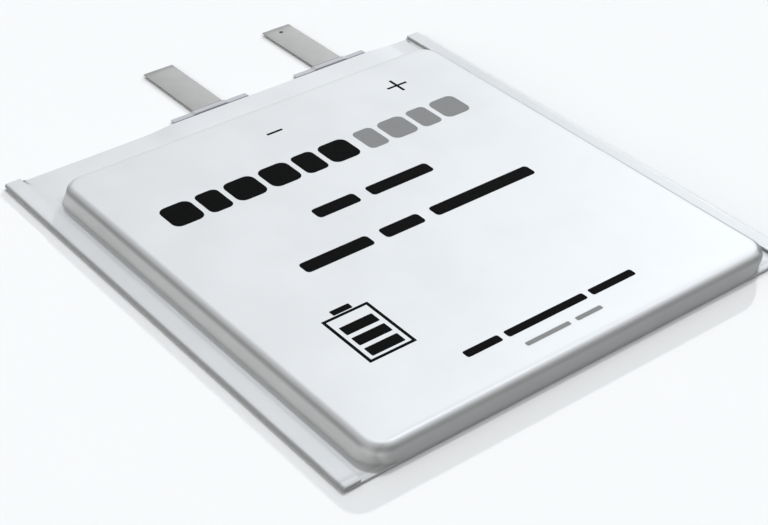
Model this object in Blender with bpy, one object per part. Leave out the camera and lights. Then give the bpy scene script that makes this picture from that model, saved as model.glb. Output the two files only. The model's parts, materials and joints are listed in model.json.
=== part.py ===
"""Pouch battery cell: a thin stacked cell in a drawn laminate pouch with two flat tabs.

Frame: the origin is the centre of the pouch's flat back face, +Z points out of the cup side,
+Y points towards the tabs and +X points right when the tabs are at the top.
The pouch has seals on three sides. The side flanges are folded over once into hems, and the
fourth side is the fold of the laminate, where the cup wall stands on the back sheet's edge.
"""

import math

import bmesh
import bpy
from mathutils import Vector

MM = 0.001

# Pouch, outside
POUCH_WIDTH = 50.0 * MM
POUCH_LENGTH = 53.1 * MM
POUCH_THICKNESS = 2.25 * MM
FILM = 0.10 * MM
SEALANT = 0.04 * MM
CLEAR = 0.01 * MM
HEM_WIDTH = 1.65 * MM
HEM_OVERHANG = 0.20 * MM
HEM_NOTCH = 0.15 * MM

# Cup, measured on its outer surface
SIDE_FLANGE = 2.73 * MM
TAB_FLANGE = 4.78 * MM
FOLD_STEP = 0.05 * MM
WALL_DRAFT = 0.22 * MM
EDGE_RADIUS = 0.80 * MM
CORNER_RADIUS = 2.30 * MM
CORNER_SEGMENTS = 6
EDGE_SEGMENTS = 5

# Tabs
TAB_WIDTH = 3.5 * MM
TAB_THICKNESS = 0.10 * MM
TAB_REACH = 10.75 * MM
TAB_CENTRES = {"negative": -1.6 * MM, "positive": 13.4 * MM}
TAB_FILM_WIDTH = 8.9 * MM
TAB_FILM = 0.05 * MM
TAB_FILM_REACH = 1.15 * MM
TAB_FILM_INSIDE = 0.80 * MM
TAB_SEALANT = 0.03 * MM
BEND_OFFSET = 1.45 * MM
BEND_CLEARANCE = 0.10 * MM
LUG_ROOT = 0.03 * MM
LOCATING_HOLE_RADIUS = 0.22 * MM
LOCATING_HOLE_SETBACK = 1.1 * MM

# Electrode stack
COPPER = 0.03 * MM
ALUMINIUM = 0.05 * MM
LITHIUM = 0.15 * MM
SEPARATOR = 0.025 * MM
TAPE = 0.03 * MM
BAG_HALF_WIDTH = 20.9 * MM
BAG_MARGIN = 0.6 * MM
BAG_START = -25.5 * MM
BAG_END = 17.6 * MM
ANODE_INSET = 0.2 * MM
CATHODE_INSET = 0.1 * MM
SHEET_CORNER = 1.0 * MM
TAPE_WIDTH = 7.0 * MM
STACK_TAPE_CENTRES = {"fold_end": -16.0 * MM, "tab_end": 9.0 * MM}

# Collector tails, from the electrode's edge to the weld on the tab's inner end
TAIL_WIDTH = 3.0 * MM
TAIL_BEND_START = 17.7 * MM
TAIL_BEND_END = 19.2 * MM
TAIL_END = 20.8 * MM
TAIL_STEPS = 8
TAB_INNER_END = 19.4 * MM
WELD_TAPE_START = 19.6 * MM
WELD_TAPE_END = 20.9 * MM

# Levels above the back face
FOLD_ROOT = CLEAR
BACK_TOP = FILM
SEAL_BOTTOM = BACK_TOP + CLEAR
SEAL_TOP = SEAL_BOTTOM + SEALANT
FLANGE_BOTTOM = SEAL_TOP + CLEAR
FLANGE_TOP = FLANGE_BOTTOM + FILM
FOLD_CENTRE = FLANGE_TOP + FOLD_ROOT
LOWER_TAB_FILM = BACK_TOP + CLEAR
TAB_BOTTOM = LOWER_TAB_FILM + TAB_FILM + CLEAR
TAB_TOP = TAB_BOTTOM + TAB_THICKNESS
UPPER_TAB_FILM = TAB_TOP + CLEAR
BRIDGE_BOTTOM = UPPER_TAB_FILM + TAB_FILM + CLEAR
BRIDGE_TOP = BRIDGE_BOTTOM + TAB_SEALANT
CHANNEL_TOP = BRIDGE_TOP + CLEAR
STACK_BOTTOM = BACK_TOP + CLEAR + TAPE + CLEAR
STACK_TOP = POUCH_THICKNESS - FILM - CLEAR - TAPE - CLEAR

# Places along the pouch
HALF_WIDTH = POUCH_WIDTH / 2
HALF_LENGTH = POUCH_LENGTH / 2
SEAL_EDGE = HALF_LENGTH - HEM_OVERHANG
FOLD_RADIUS = FOLD_CENTRE
FOLD_X = HALF_WIDTH - FOLD_RADIUS
HEM_X = HALF_WIDTH - HEM_WIDTH
NOTCH_X = HEM_X - HEM_NOTCH
WALL_X = HALF_WIDTH - SIDE_FLANGE
WALL_BACK = HALF_LENGTH - TAB_FLANGE
WALL_FRONT = -HALF_LENGTH + FOLD_STEP
BEND_Y = SEAL_EDGE + BEND_OFFSET
BEND_Z = (TAB_BOTTOM + TAB_TOP) / 2

LAMINATE = (0.80, 0.82, 0.84)
NICKEL = (0.48, 0.47, 0.45)


def clear_scene():
    for obj in list(bpy.data.objects):
        bpy.data.objects.remove(obj, do_unlink=True)


def material(name, color, roughness, metallic):
    mat = bpy.data.materials.new(name)
    mat.use_nodes = True
    shader = mat.node_tree.nodes["Principled BSDF"]
    shader.inputs["Base Color"].default_value = (*color, 1.0)
    shader.inputs["Roughness"].default_value = roughness
    shader.inputs["Metallic"].default_value = metallic
    return mat


def add_object(name, bm, mat=None, origin=(0.0, 0.0, 0.0)):
    """Turns a closed bmesh into an object whose origin is at the given point."""
    bmesh.ops.recalc_face_normals(bm, faces=bm.faces)
    bmesh.ops.translate(bm, verts=bm.verts, vec=-Vector(origin))
    mesh = bpy.data.meshes.new(name)
    bm.to_mesh(mesh)
    bm.free()
    mesh.shade_smooth()
    mesh.set_sharp_from_angle(angle=math.radians(35))
    if mat is not None:
        mesh.materials.append(mat)
    obj = bpy.data.objects.new(name, mesh)
    obj.location = origin
    bpy.context.scene.collection.objects.link(obj)
    return obj


def mark_guide(obj):
    obj.hide_render = True
    obj.display_type = "WIRE"
    return obj


def combine(obj, guide, operation):
    """Adds a live Boolean that joins or cuts obj with a guide body."""
    mark_guide(guide)
    modifier = obj.modifiers.new(guide.name, "BOOLEAN")
    modifier.object = guide
    modifier.operation = operation
    modifier.solver = "EXACT"


def arc(centre_x, centre_y, radius, start, end, segments):
    """Points on an arc in a plane, with the angles in degrees."""
    points = []
    for step in range(segments + 1):
        angle = math.radians(start + (end - start) * step / segments)
        points.append((centre_x + radius * math.cos(angle), centre_y + radius * math.sin(angle)))
    return points


def rounded_rectangle(x0, x1, y0, y1, radius, segments):
    points = arc(x1 - radius, y0 + radius, radius, -90, 0, segments)
    points += arc(x1 - radius, y1 - radius, radius, 0, 90, segments)
    points += arc(x0 + radius, y1 - radius, radius, 90, 180, segments)
    points += arc(x0 + radius, y0 + radius, radius, 180, 270, segments)
    return points


def loft(loops):
    """A closed body through stacked loops of equal length, capped at both ends."""
    bm = bmesh.new()
    rings = [[bm.verts.new(point) for point in loop] for loop in loops]
    for lower, upper in zip(rings, rings[1:]):
        count = len(lower)
        for i in range(count):
            j = (i + 1) % count
            bm.faces.new((lower[i], lower[j], upper[j], upper[i]))
    bm.faces.new(list(reversed(rings[0])))
    bm.faces.new(rings[-1])
    return bm


def prism_along_y(outline, y0, y1):
    """A closed body with the given outline in the XZ plane, from y0 to y1."""
    return loft([[(x, y0, z) for x, z in outline], [(x, y1, z) for x, z in outline]])


def plate(outline, z0, z1):
    """A flat sheet with the given outline in the XY plane, from z0 to z1."""
    return loft([[(x, y, z0) for x, y in outline], [(x, y, z1) for x, y in outline]])


def block(x0, x1, y0, y1, z0, z1):
    return plate([(x0, y0), (x1, y0), (x1, y1), (x0, y1)], z0, z1)


def sleeve_along_y(inner, outer, y0, y1):
    """A closed tape loop: the space between two (x0, x1, z0, z1) rectangles, from y0 to y1."""
    bm = bmesh.new()
    rings = []
    for x0, x1, z0, z1 in (outer, inner):
        corners = [(x0, z0), (x1, z0), (x1, z1), (x0, z1)]
        rings.append([[bm.verts.new((x, y, z)) for x, z in corners] for y in (y0, y1)])
    for i in range(4):
        j = (i + 1) % 4
        for near, far in rings:
            bm.faces.new((near[i], near[j], far[j], far[i]))
        for end in (0, 1):
            outside = rings[0][end]
            inside = rings[1][end]
            bm.faces.new((outside[i], outside[j], inside[j], inside[i]))
    return bm


def hem_outline(inner_radius, outer_radius, side):
    """Half a hem layer in XZ: from the flange, round the fold and back to the free edge."""
    outer = arc(FOLD_X, FOLD_CENTRE, outer_radius, -90, 90, 8)
    inner = arc(FOLD_X, FOLD_CENTRE, inner_radius, 90, -90, 6)
    edge = [(HEM_X, FOLD_CENTRE + outer_radius), (HEM_X, FOLD_CENTRE + inner_radius)]
    return [(side * x, z) for x, z in outer + edge + inner]


def film_outline(inner_radius, outer_radius):
    """A whole film in XZ, flat between the folds, with a hem layer on each side."""
    right = hem_outline(inner_radius, outer_radius, 1)
    left = hem_outline(inner_radius, outer_radius, -1)
    return right + list(reversed(left))


def seal_outline(inner_radius, outer_radius, side):
    """A side seal's sealant in XZ, from just outside the cup to the hem's free edge."""
    start = WALL_X + 2 * FILM
    flange = [
        (side * start, FOLD_CENTRE - inner_radius),
        (side * start, FOLD_CENTRE - outer_radius),
    ]
    return flange + hem_outline(inner_radius, outer_radius, side)


def cup_loops(skin, bottom):
    """Stacked outlines of the cup, drawn in by the given skin thickness."""
    levels = [(bottom, 0.0, 0.0), (POUCH_THICKNESS - EDGE_RADIUS, WALL_DRAFT, 0.0)]
    radius = EDGE_RADIUS - skin
    for x, z in arc(0.0, 0.0, radius, 0, 90, EDGE_SEGMENTS)[1:]:
        levels.append((POUCH_THICKNESS - EDGE_RADIUS + z, WALL_DRAFT, radius - x))
    loops = []
    for z, draft, rounding in levels:
        outline = rounded_rectangle(
            -WALL_X + draft + skin + rounding,
            WALL_X - draft - skin - rounding,
            WALL_FRONT + skin + rounding,
            WALL_BACK - draft - skin - rounding,
            CORNER_RADIUS - draft / 2 - skin - rounding,
            CORNER_SEGMENTS,
        )
        loops.append([(x, y, z) for x, y in outline])
    return loops


def raised_outline(centre, half_top, half_foot, top, foot, bottom):
    """A low trapezoid in XZ over a tab, on a straight foot."""
    return [
        (centre - half_foot, bottom),
        (centre + half_foot, bottom),
        (centre + half_foot, foot),
        (centre + half_top, top),
        (centre - half_top, top),
        (centre - half_foot, foot),
    ]


def cut_terminal_edge(film, name, top):
    """Trims a film at the terminal edge, so the hems stand a little past it."""
    notch = block(-NOTCH_X, NOTCH_X, SEAL_EDGE, HALF_LENGTH + FILM, -FILM, top)
    combine(film, add_object(name, notch), "DIFFERENCE")


def make_front_film(mat):
    """The drawn cup with its three flanges, raised where the tabs pass through the seal."""
    outline = film_outline(FOLD_ROOT, FOLD_ROOT + FILM)
    film = add_object("front_film", prism_along_y(outline, -HALF_LENGTH, HALF_LENGTH), mat)
    half_film = TAB_FILM_WIDTH / 2
    cup = loft(cup_loops(0.0, FLANGE_BOTTOM + FILM / 2))
    combine(film, add_object("cup_body", cup), "UNION")
    for pole, centre in TAB_CENTRES.items():
        ridge = raised_outline(
            centre, half_film + 2 * FILM, half_film + 7 * FILM,
            CHANNEL_TOP + FILM, FLANGE_TOP - CLEAR, FLANGE_BOTTOM + FILM / 2,
        )
        body = prism_along_y(ridge, WALL_BACK - FILM, HALF_LENGTH)
        combine(film, add_object(pole + "_ridge", body), "UNION")
    edge_x = WALL_X - CORNER_RADIUS
    skirt = block(
        -edge_x, edge_x, WALL_FRONT + FILM / 10, WALL_FRONT + FILM * 0.8,
        SEAL_BOTTOM, FLANGE_BOTTOM + FILM / 2,
    )
    combine(film, add_object("fold_skirt", skirt), "UNION")
    combine(film, add_object("cup_hollow", loft(cup_loops(FILM, -FILM))), "DIFFERENCE")
    for pole, centre in TAB_CENTRES.items():
        channel = raised_outline(
            centre, half_film + 1.2 * FILM, half_film + 3.5 * FILM,
            CHANNEL_TOP, FLANGE_BOTTOM, -FILM,
        )
        body = prism_along_y(channel, WALL_BACK - 1 * MM, HALF_LENGTH + FILM)
        combine(film, add_object(pole + "_channel", body), "DIFFERENCE")
    cut_terminal_edge(film, "front_notch", CHANNEL_TOP + 2 * FILM)


def make_back_film(mat):
    """The flat back sheet, which wraps the outside of both hems."""
    root = FOLD_ROOT + FILM + CLEAR + SEALANT + CLEAR
    outline = film_outline(root, root + FILM)
    film = add_object("back_film", prism_along_y(outline, -HALF_LENGTH, HALF_LENGTH), mat)
    cut_terminal_edge(film, "back_notch", FLANGE_BOTTOM)


def make_side_seal(name, side, mat):
    root = FOLD_ROOT + FILM + CLEAR
    outline = seal_outline(root, root + SEALANT, side)
    add_object(name, prism_along_y(outline, -HALF_LENGTH, SEAL_EDGE - CLEAR), mat)


def make_terminal_seal(mat):
    """The sealant along the terminal edge, which bridges over both tabs."""
    half_film = TAB_FILM_WIDTH / 2
    end_x = WALL_X + FILM
    upper = [(-end_x, SEAL_TOP)]
    lower = [(-end_x, SEAL_BOTTOM)]
    for centre in sorted(TAB_CENTRES.values()):
        upper += [
            (centre - half_film - 2.5 * FILM, SEAL_TOP),
            (centre - half_film - 0.8 * FILM, BRIDGE_TOP),
            (centre + half_film + 0.8 * FILM, BRIDGE_TOP),
            (centre + half_film + 2.5 * FILM, SEAL_TOP),
        ]
        lower += [
            (centre - half_film - 1.5 * FILM, SEAL_BOTTOM),
            (centre - half_film - 0.4 * FILM, BRIDGE_BOTTOM),
            (centre + half_film + 0.4 * FILM, BRIDGE_BOTTOM),
            (centre + half_film + 1.5 * FILM, SEAL_BOTTOM),
        ]
    upper.append((end_x, SEAL_TOP))
    lower.append((end_x, SEAL_BOTTOM))
    outline = lower + list(reversed(upper))
    seal_start = WALL_BACK + 2 * FILM
    add_object("terminal_seal", prism_along_y(outline, seal_start, SEAL_EDGE - CLEAR), mat)


def make_tab(pole, centre, tab_mat, film_mat):
    """A tab through the seal, its outer lug on the bend line, and the films round it."""
    half = TAB_WIDTH / 2
    inner = block(
        centre - half, centre + half, TAB_INNER_END, BEND_Y - BEND_CLEARANCE,
        TAB_BOTTOM, TAB_TOP,
    )
    add_object(pole + "_tab", inner, tab_mat)
    tip = SEAL_EDGE + TAB_REACH
    outer = block(centre - half, centre + half, BEND_Y - LUG_ROOT, tip, TAB_BOTTOM, TAB_TOP)
    lug = add_object(pole + "_tab_lug", outer, tab_mat, origin=(centre, BEND_Y, BEND_Z))
    if pole == "positive":
        ring = arc(centre, tip - LOCATING_HOLE_SETBACK, LOCATING_HOLE_RADIUS, 0, 345, 23)
        hole = plate(ring, TAB_BOTTOM - TAB_THICKNESS, TAB_TOP + TAB_THICKNESS)
        combine(lug, add_object("locating_hole", hole), "DIFFERENCE")
    half_film = TAB_FILM_WIDTH / 2
    start = WALL_BACK - TAB_FILM_INSIDE
    end = SEAL_EDGE + TAB_FILM_REACH
    for place, level in (("lower", LOWER_TAB_FILM), ("upper", UPPER_TAB_FILM)):
        strip = block(
            centre - half_film, centre + half_film, start, end, level, level + TAB_FILM,
        )
        add_object(pole + "_tab_film_" + place, strip, film_mat)


def sheet_outline(half_width, y0, y1):
    return rounded_rectangle(-half_width, half_width, y0, y1, SHEET_CORNER, 3)


def make_sheet(name, half_width, y0, y1, z0, thickness, mat):
    add_object(name, plate(sheet_outline(half_width, y0, y1), z0, z0 + thickness), mat)


def smooth_step(value):
    t = min(max(value, 0.0), 1.0)
    return t * t * (3 - 2 * t)


def make_collector(name, half_width, y0, y1, z0, thickness, centre, tail_level, mat):
    """A collector foil whose tail runs down or up to its place on the tab's inner end."""
    bm = bmesh.new()
    half = TAIL_WIDTH / 2
    outline = sheet_outline(half_width, y0, y1)
    root = [(centre + half, y1), (centre - half, y1)]
    turn = next(i for i, point in enumerate(outline) if point[1] >= y1 - CLEAR / 10)
    points = outline[:turn + 1] + root + outline[turn + 1:]
    sheet = [bm.verts.new((x, y, z0)) for x, y in points]
    bm.faces.new(sheet)
    right = sheet[turn + 1]
    left = sheet[turn + 2]
    bend = TAIL_BEND_END - TAIL_BEND_START
    rows = [TAIL_BEND_START + bend * step / TAIL_STEPS for step in range(TAIL_STEPS + 1)]
    for y in rows + [TAIL_END]:
        z = z0 + (tail_level - z0) * smooth_step((y - TAIL_BEND_START) / bend)
        next_right = bm.verts.new((centre + half, y, z))
        next_left = bm.verts.new((centre - half, y, z))
        bm.faces.new((right, next_right, next_left, left))
        right = next_right
        left = next_left
    raised = bmesh.ops.extrude_face_region(bm, geom=bm.faces[:])
    verts = [item for item in raised["geom"] if isinstance(item, bmesh.types.BMVert)]
    bmesh.ops.translate(bm, verts=verts, vec=(0.0, 0.0, thickness))
    add_object(name, bm, mat)


def make_separator_bag(name, z0, height, mat):
    """A separator folded round one cathode and welded at its sides, open towards the tabs."""
    bag = block(-BAG_HALF_WIDTH, BAG_HALF_WIDTH, BAG_START, BAG_END, z0, z0 + height)
    obj = add_object(name, bag, mat)
    half = BAG_HALF_WIDTH - BAG_MARGIN
    hollow = block(
        -half, half, BAG_START + BAG_MARGIN, BAG_END + BAG_MARGIN,
        z0 + SEPARATOR, z0 + height - SEPARATOR,
    )
    combine(obj, add_object(name + "_hollow", hollow), "DIFFERENCE")


def make_cathode(place, z0, cathode_mix, tail_level, mats):
    """A cathode in its bag: mix on both faces of a collector. Returns the next layer's level."""
    half = BAG_HALF_WIDTH - BAG_MARGIN - CATHODE_INSET
    start = BAG_START + BAG_MARGIN + CATHODE_INSET
    end = BAG_END - BAG_MARGIN - CATHODE_INSET
    lower_mix = z0 + SEPARATOR + CLEAR
    collector = lower_mix + cathode_mix + CLEAR
    upper_mix = collector + ALUMINIUM + CLEAR
    height = upper_mix + cathode_mix + CLEAR + SEPARATOR - z0
    name = place + "_cathode"
    make_sheet(name + "_mix_lower", half, start, end, lower_mix, cathode_mix, mats["mix"])
    make_collector(
        name + "_collector", half, start, end, collector, ALUMINIUM,
        TAB_CENTRES["positive"], tail_level, mats["aluminium"],
    )
    make_sheet(name + "_mix_upper", half, start, end, upper_mix, cathode_mix, mats["mix"])
    make_separator_bag(place + "_separator_bag", z0, height, mats["separator"])
    return z0 + height + CLEAR


def make_anode(place, layers, z0, tail_level, mats):
    """An anode: lithium on one or both faces of a collector. Returns the next layer's level."""
    half = BAG_HALF_WIDTH - ANODE_INSET
    start = BAG_START + ANODE_INSET
    end = BAG_END - 2 * ANODE_INSET
    level = z0
    for layer in layers:
        name = place + "_anode_" + layer
        if layer == "collector":
            make_collector(
                name, half, start, end, level, COPPER,
                TAB_CENTRES["negative"], tail_level, mats["copper"],
            )
            level += COPPER + CLEAR
        else:
            make_sheet(name, half, start, end, level, LITHIUM, mats["lithium"])
            level += LITHIUM + CLEAR
    return level


def make_stack(mats):
    """Two bagged cathodes between three anodes, filling the height inside the cup.

    Returns the level above each tab's uppermost collector tail.
    """
    layer_count = 17
    sheets = 3 * COPPER + 4 * LITHIUM + 2 * ALUMINIUM + 4 * SEPARATOR
    gaps = (layer_count - 1) * CLEAR
    cathode_mix = (STACK_TOP - STACK_BOTTOM - sheets - gaps) / 4
    copper_tails = [TAB_TOP + CLEAR + i * (COPPER + CLEAR) for i in range(4)]
    aluminium_tails = [TAB_TOP + CLEAR + i * (ALUMINIUM + CLEAR) for i in range(3)]
    level = STACK_BOTTOM
    level = make_anode("lower", ("collector", "lithium"), level, copper_tails[0], mats)
    level = make_cathode("lower", level, cathode_mix, aluminium_tails[0], mats)
    both_faces = ("lithium_lower", "collector", "lithium_upper")
    level = make_anode("middle", both_faces, level, copper_tails[1], mats)
    level = make_cathode("upper", level, cathode_mix, aluminium_tails[1], mats)
    make_anode("upper", ("lithium", "collector"), level, copper_tails[2], mats)
    return {"negative": copper_tails[3], "positive": aluminium_tails[2]}


def make_stack_tape(name, centre, mat):
    """A tape loop that holds the layers of the stack together."""
    inner_x = BAG_HALF_WIDTH + 2 * CLEAR
    inner = (-inner_x, inner_x, STACK_BOTTOM - CLEAR, STACK_TOP + CLEAR)
    outer = (-inner_x - TAPE, inner_x + TAPE, BACK_TOP + CLEAR, STACK_TOP + CLEAR + TAPE)
    tape = sleeve_along_y(inner, outer, centre - TAPE_WIDTH / 2, centre + TAPE_WIDTH / 2)
    add_object(name, tape, mat)


def make_weld_tape(name, centre, top, mat):
    """A tape loop round the welds between a tab's inner end and the collector tails."""
    half = TAB_WIDTH / 2 + CLEAR
    inner = (centre - half, centre + half, TAB_BOTTOM - CLEAR, top)
    outer = (
        centre - half - TAPE, centre + half + TAPE, TAB_BOTTOM - CLEAR - TAPE, top + TAPE,
    )
    add_object(name, sleeve_along_y(inner, outer, WELD_TAPE_START, WELD_TAPE_END), mat)


def main():
    clear_scene()
    mats = {
        "mix": material("cathode_mix", (0.03, 0.03, 0.033), 0.9, 0.0),
        "aluminium": material("aluminium_foil", (0.75, 0.76, 0.77), 0.35, 1.0),
        "copper": material("copper_foil", (0.80, 0.42, 0.28), 0.35, 1.0),
        "lithium": material("lithium_foil", (0.62, 0.63, 0.66), 0.45, 1.0),
        "separator": material("separator", (0.88, 0.88, 0.86), 0.6, 0.0),
    }
    make_back_film(material("back_laminate", LAMINATE, 0.35, 0.5))
    make_front_film(material("front_laminate", LAMINATE, 0.35, 0.5))
    sealant = material("sealant", (0.75, 0.75, 0.72), 0.5, 0.0)
    make_terminal_seal(sealant)
    make_side_seal("left_side_seal", -1, sealant)
    make_side_seal("right_side_seal", 1, sealant)
    tab_mat = material("tab_nickel", NICKEL, 0.3, 1.0)
    tab_film_mat = material("tab_film", (0.55, 0.56, 0.57), 0.45, 0.0)
    for pole, centre in TAB_CENTRES.items():
        make_tab(pole, centre, tab_mat, tab_film_mat)
    tape_mat = material("polyimide_tape", (0.75, 0.42, 0.08), 0.3, 0.0)
    tail_tops = make_stack(mats)
    for place, centre in STACK_TAPE_CENTRES.items():
        make_stack_tape(place + "_stack_tape", centre, tape_mat)
    for pole, centre in TAB_CENTRES.items():
        make_weld_tape(pole + "_weld_tape", centre, tail_tops[pole], tape_mat)


main()
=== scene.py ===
"""Looks of the pouch battery cell: laminate skins, seals, tabs, printed marks and the studio.

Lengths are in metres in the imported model's frame. The cell lies on its back face, with the
cup side up (+Z) and the tabs at +Y.
"""

import json
import math

import bmesh
import bpy
import numpy as np
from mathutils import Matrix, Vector


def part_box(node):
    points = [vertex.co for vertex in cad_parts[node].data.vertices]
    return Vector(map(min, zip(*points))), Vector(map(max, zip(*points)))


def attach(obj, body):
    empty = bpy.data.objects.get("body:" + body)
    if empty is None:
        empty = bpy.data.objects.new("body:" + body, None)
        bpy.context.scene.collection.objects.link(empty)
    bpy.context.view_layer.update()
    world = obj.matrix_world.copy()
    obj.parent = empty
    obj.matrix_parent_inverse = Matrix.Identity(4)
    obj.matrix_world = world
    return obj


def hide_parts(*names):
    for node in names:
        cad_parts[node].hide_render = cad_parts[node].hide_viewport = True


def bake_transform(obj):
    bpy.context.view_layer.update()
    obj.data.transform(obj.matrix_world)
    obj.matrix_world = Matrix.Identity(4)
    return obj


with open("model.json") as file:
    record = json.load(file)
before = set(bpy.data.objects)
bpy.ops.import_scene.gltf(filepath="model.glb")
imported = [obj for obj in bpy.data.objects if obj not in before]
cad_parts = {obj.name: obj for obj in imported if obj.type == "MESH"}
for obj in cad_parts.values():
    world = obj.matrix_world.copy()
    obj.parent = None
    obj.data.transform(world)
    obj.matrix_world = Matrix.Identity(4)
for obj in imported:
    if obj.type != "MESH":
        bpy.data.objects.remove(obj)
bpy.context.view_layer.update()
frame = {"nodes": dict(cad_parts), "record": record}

MM = 0.001


def mm(*lengths):
    """Lengths in millimetres, turned into the frame's metres."""
    return tuple(length * MM for length in lengths)


# The cell's outer sizes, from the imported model
POUCH = "pouch"
LAYER_GAP = 0.01 * MM
FILM = 0.10 * MM
INK_ROOM = 0.005 * MM
HALF_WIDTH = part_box("back_film")[1].x
HALF_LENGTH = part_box("back_film")[1].y
HEM_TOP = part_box("back_film")[1].z
SEAL_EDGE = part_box("terminal_seal")[1].y + LAYER_GAP
WALL_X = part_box("terminal_seal")[1].x - FILM
WALL_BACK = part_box("terminal_seal")[0].y - 2 * FILM
WALL_FRONT = -HALF_LENGTH + 0.05 * MM
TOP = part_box("front_film")[1].z - INK_ROOM

# Sheet layers round each side fold, measured from the fold's centre line
FOLD_CENTRE = HEM_TOP / 2
FOLD_X = HALF_WIDTH - FOLD_CENTRE
FRONT_ROOT = 0.01 * MM
BACK_ROOT = FOLD_CENTRE
SEAL_ROOT = 0.12 * MM
SEAL_THICKNESS = 0.04 * MM
SKIN_THICKNESS = FILM - 0.002 * MM
HEM_X = HALF_WIDTH - 1.65 * MM
NOTCH_X = HEM_X - 0.15 * MM
NOTCH_STEP = 0.004 * MM
FLANGE_TOP = FOLD_CENTRE - FRONT_ROOT
BOTTOM_FOLD = 0.13 * MM

# Cup: its radii seen from above, at the top and at the foot, and its rounded edges
WALL_DRAFT = 0.22 * MM
EDGE_RADIUS = 0.80 * MM
CORNER_RADIUS = 2.30 * MM
FRONT_FOOT_RADIUS = 3.20 * MM
BACK_FOOT_RADIUS = 1.90 * MM
FOOT_FILLET = 0.06 * MM
FILLET_SHARE = 0.4
CROWN_DROP = 0.03 * MM
CROWN_WIDTH = 4.0 * MM
SPINE_HALF = 2.0 * MM
SPINE_Y = -2.5 * MM

# Tabs, the sealing films round them and the raised strip of the flange over them
TABS = ("negative", "positive")
TAB_CENTRES = {pole: sum(c.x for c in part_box(pole + "_tab")) / 2 for pole in TABS}
TAB_HALF_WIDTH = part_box("negative_tab")[1].x - TAB_CENTRES["negative"]
TAB_BEVEL = 0.02 * MM
TIP_ROUND = 0.012 * MM
BEND_FROM_ROOT = 0.03 * MM
BEND_HALF_LENGTH = 0.20 * MM
HOLE_RADIUS = 0.22 * MM
HOLE_FROM_TIP = 1.1 * MM
FILM_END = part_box("negative_tab_film_upper")[1].y
FILM_STEP_X = TAB_HALF_WIDTH + 0.55 * MM
FILM_FLAT_X = TAB_HALF_WIDTH + 0.6 * MM
SAG_START_X = TAB_HALF_WIDTH + 0.04 * MM
SAG_START_Y = SEAL_EDGE - 0.02 * MM
SAG_WIDTH = 0.45 * MM
SAG_LENGTH = 0.30 * MM
SETTLED_GAP = 0.055 * MM
LAND_HEIGHT = 0.22 * MM
LAND_REACH = 4.55 * MM
LAND_LEFT = TAB_CENTRES["negative"] - LAND_REACH
LAND_RIGHT = TAB_CENTRES["positive"] + LAND_REACH
LAND_RAMP = 4.0 * MM
TAIL_POINTS = 9
BEND_POINTS = 25
LUG_POINTS = 12
TIP_ROW = 0.02 * MM

# How finely the laminate is divided: along the cup's outline and the hems, then across them
CORNER_STEPS = 24
FRONT_POINTS = 30
SIDE_POINTS = 46
BACK_POINTS = 29
RAMP_POINTS = 9
LEG_POINTS = 10
NOTCH_POINTS = 5
ROW_POINTS = 60
SEAL_POINTS = 40
CLOSEST_POINTS = 0.02 * MM
MERGE_DISTANCE = 0.0005 * MM
FACE_SHARES = (0.0, 0.25, 0.5, 0.7, 0.82, 0.88, 0.92, 0.95, 0.975, 0.99)
SHOULDER_POINTS = 14
WALL_SHARES = (0.25, 0.5, 0.75, 1.0)
FILLET_ANGLES = (22.5, 45, 67.5, 90)
FLANGE_SHARES = (0.06, 0.15, 0.3, 0.5, 0.7, 0.85, 0.93, 0.97, 1.0)
HEM_TURN_POINTS = 13
HEM_SHARES = (0.3, 0.7, 1.0)

# Print on the cup's face. Each place is its left, right, bottom and top edge
INK_THICKNESS = 0.004 * MM
FRAME_GAP = 0.004 * MM
FRAME_LINE = 0.32 * MM
BAR_CORNER_STEPS = 4
MINUS_PLACE = mm(-2.0, -0.2, 16.25, 16.55)
PLUS_CENTRE = mm(13.85, 16.3)
PLUS_HALF = 1.2 * MM
PLUS_STROKE = 0.3 * MM
HEADING_PLACE = mm(-17.5, 3.4, 8.1, 11.6)
HEADING_END_PLACE = mm(4.4, 16.9, 8.1, 11.6)
UPPER_ROW_PLACE = mm(-6.5, 6.8, 1.6, 3.2)
LOWER_ROW_PLACE = mm(-12.3, 13.9, -4.6, -3.0)
SMALL_ROW_PLACE = mm(-9.0, 9.8, -21.9, -21.0)
FINE_ROW_PLACE = mm(-4.2, 4.2, -23.7, -23.2)
PICTOGRAM_PLACE = mm(-15.6, -10.8, -17.6, -10.9)
PICTOGRAM_TERMINAL = mm(-14.2, -12.2, -10.8, -10.1)
PICTOGRAM_BARS = [mm(-14.9, -11.5, y, y + 1.2) for y in (-17.0, -15.3, -13.6)]


# ---------------------------------------------------------------- mesh helpers


def ease(value):
    t = np.clip(value, 0.0, 1.0)
    return t * t * (3 - 2 * t)


def grid_faces(columns, wrap=False):
    """Quads between neighbouring lines of vertex numbers."""
    faces = []
    for inner, outer in zip(columns, columns[1:]):
        last = len(inner) if wrap else len(inner) - 1
        for i in range(last):
            j = (i + 1) % len(inner)
            faces.append((inner[i], outer[i], outer[j], inner[j]))
    return faces


def add_object(name, data):
    obj = bpy.data.objects.new(name, data)
    bpy.context.scene.collection.objects.link(obj)
    return obj


def shade(mesh, sharp):
    mesh.shade_smooth()
    mesh.set_sharp_from_angle(angle=math.radians(sharp))


def new_piece(name, verts, faces, mats, sharp=40):
    mesh = bpy.data.meshes.new(name)
    mesh.from_pydata([tuple(v) for v in verts], [], faces)
    for mat in mats:
        mesh.materials.append(mat)
    shade(mesh, sharp)
    return add_object(name, mesh)


def apply_modifiers(obj, sharp=40):
    """Replaces an object's mesh with its modifiers' result."""
    depsgraph = bpy.context.evaluated_depsgraph_get()
    mesh = bpy.data.meshes.new_from_object(obj.evaluated_get(depsgraph))
    obj.modifiers.clear()
    old = obj.data
    obj.data = mesh
    bpy.data.meshes.remove(old)
    mesh.name = obj.name
    shade(mesh, sharp)


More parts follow.
